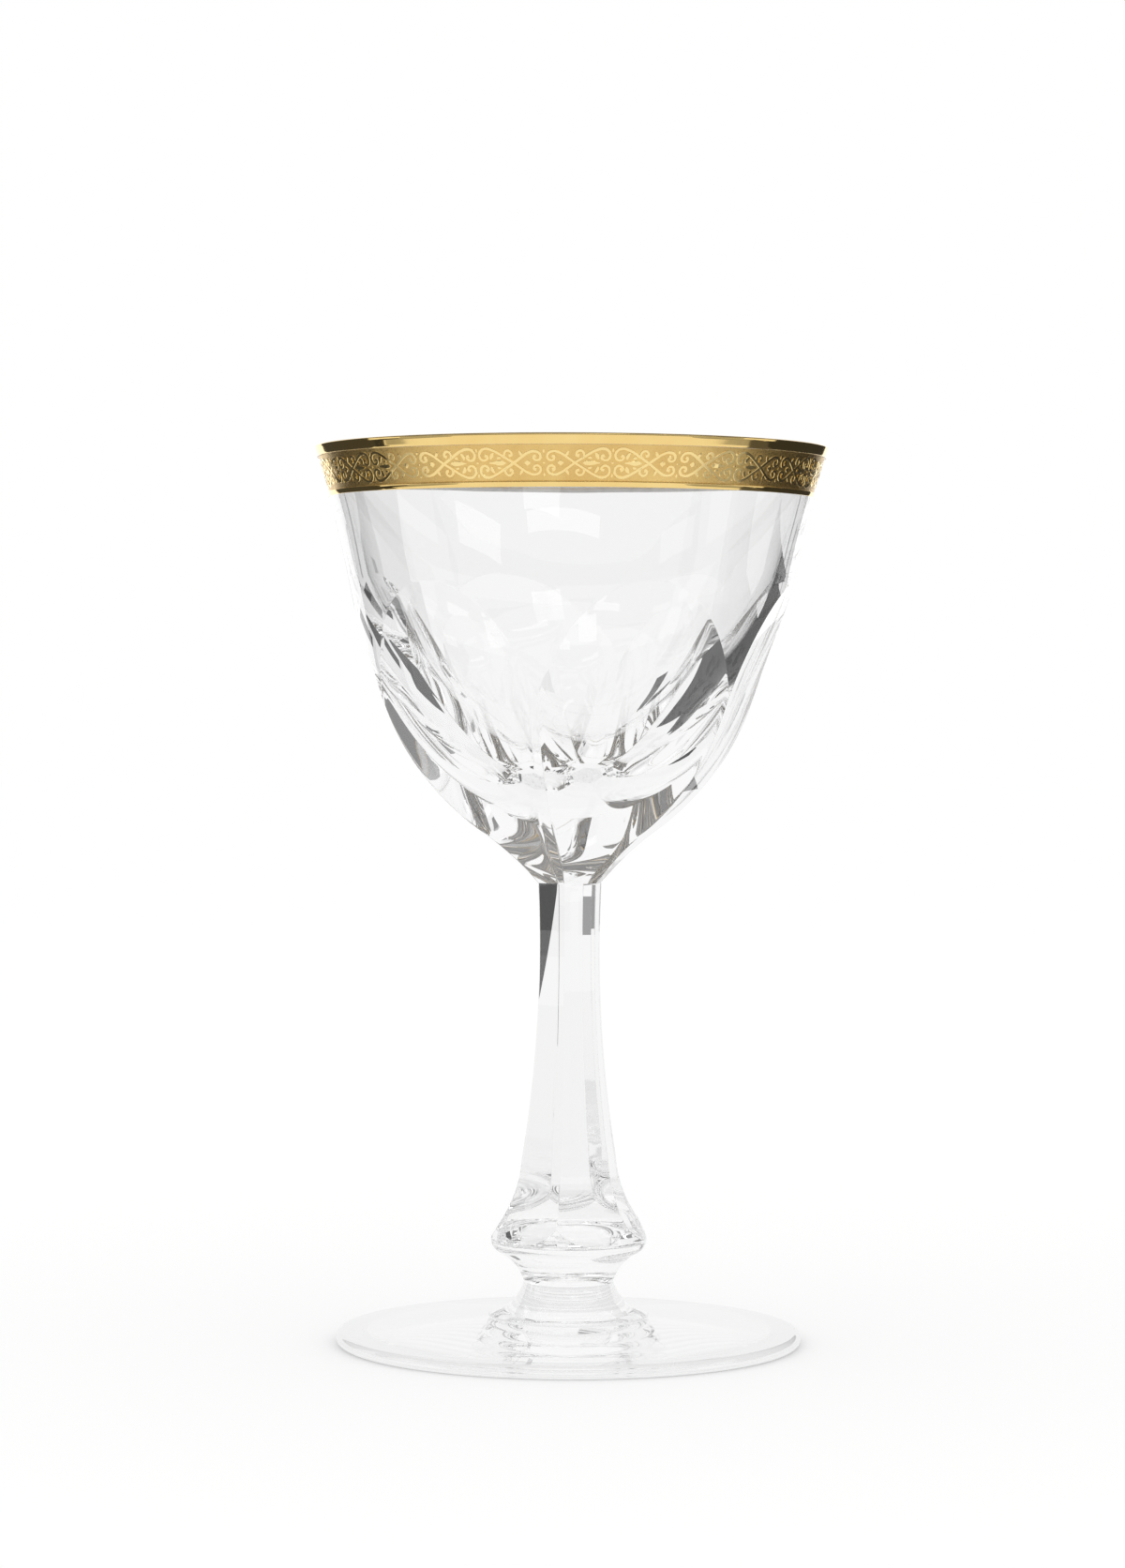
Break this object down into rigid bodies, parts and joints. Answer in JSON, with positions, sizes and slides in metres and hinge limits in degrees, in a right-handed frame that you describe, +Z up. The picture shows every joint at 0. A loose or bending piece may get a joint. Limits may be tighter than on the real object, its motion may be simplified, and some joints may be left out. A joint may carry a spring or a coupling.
{
  "type": "cordial glass",
  "caption": "Stemmed cordial glass: flared crystal bowl with cut arched panels, fluted stem with a knop, round foot and a gilded etched band under the rim.",
  "frame": {"origin": "middle of the ring under the foot that the glass stands on", "axes": "+Z up the axis of the glass; -Y faces the middle of one cut panel; +X follows"},
  "size_m": [0.0662, 0.0662, 0.115],
  "materials": {
    "crystal": "clear, cut and polished",
    "burnished_gold": "fired gold, burnished bright",
    "etched_gold": "fired gold on an etched ground, satin"
  },
  "bodies": {
    "root": {"foot": "crystal", "collar": "crystal", "stem": "crystal", "bowl": "crystal", "gold_lip_line": "burnished_gold", "gold_frieze": "etched_gold", "gold_base_line": "burnished_gold"}
  },
  "joints": []
}
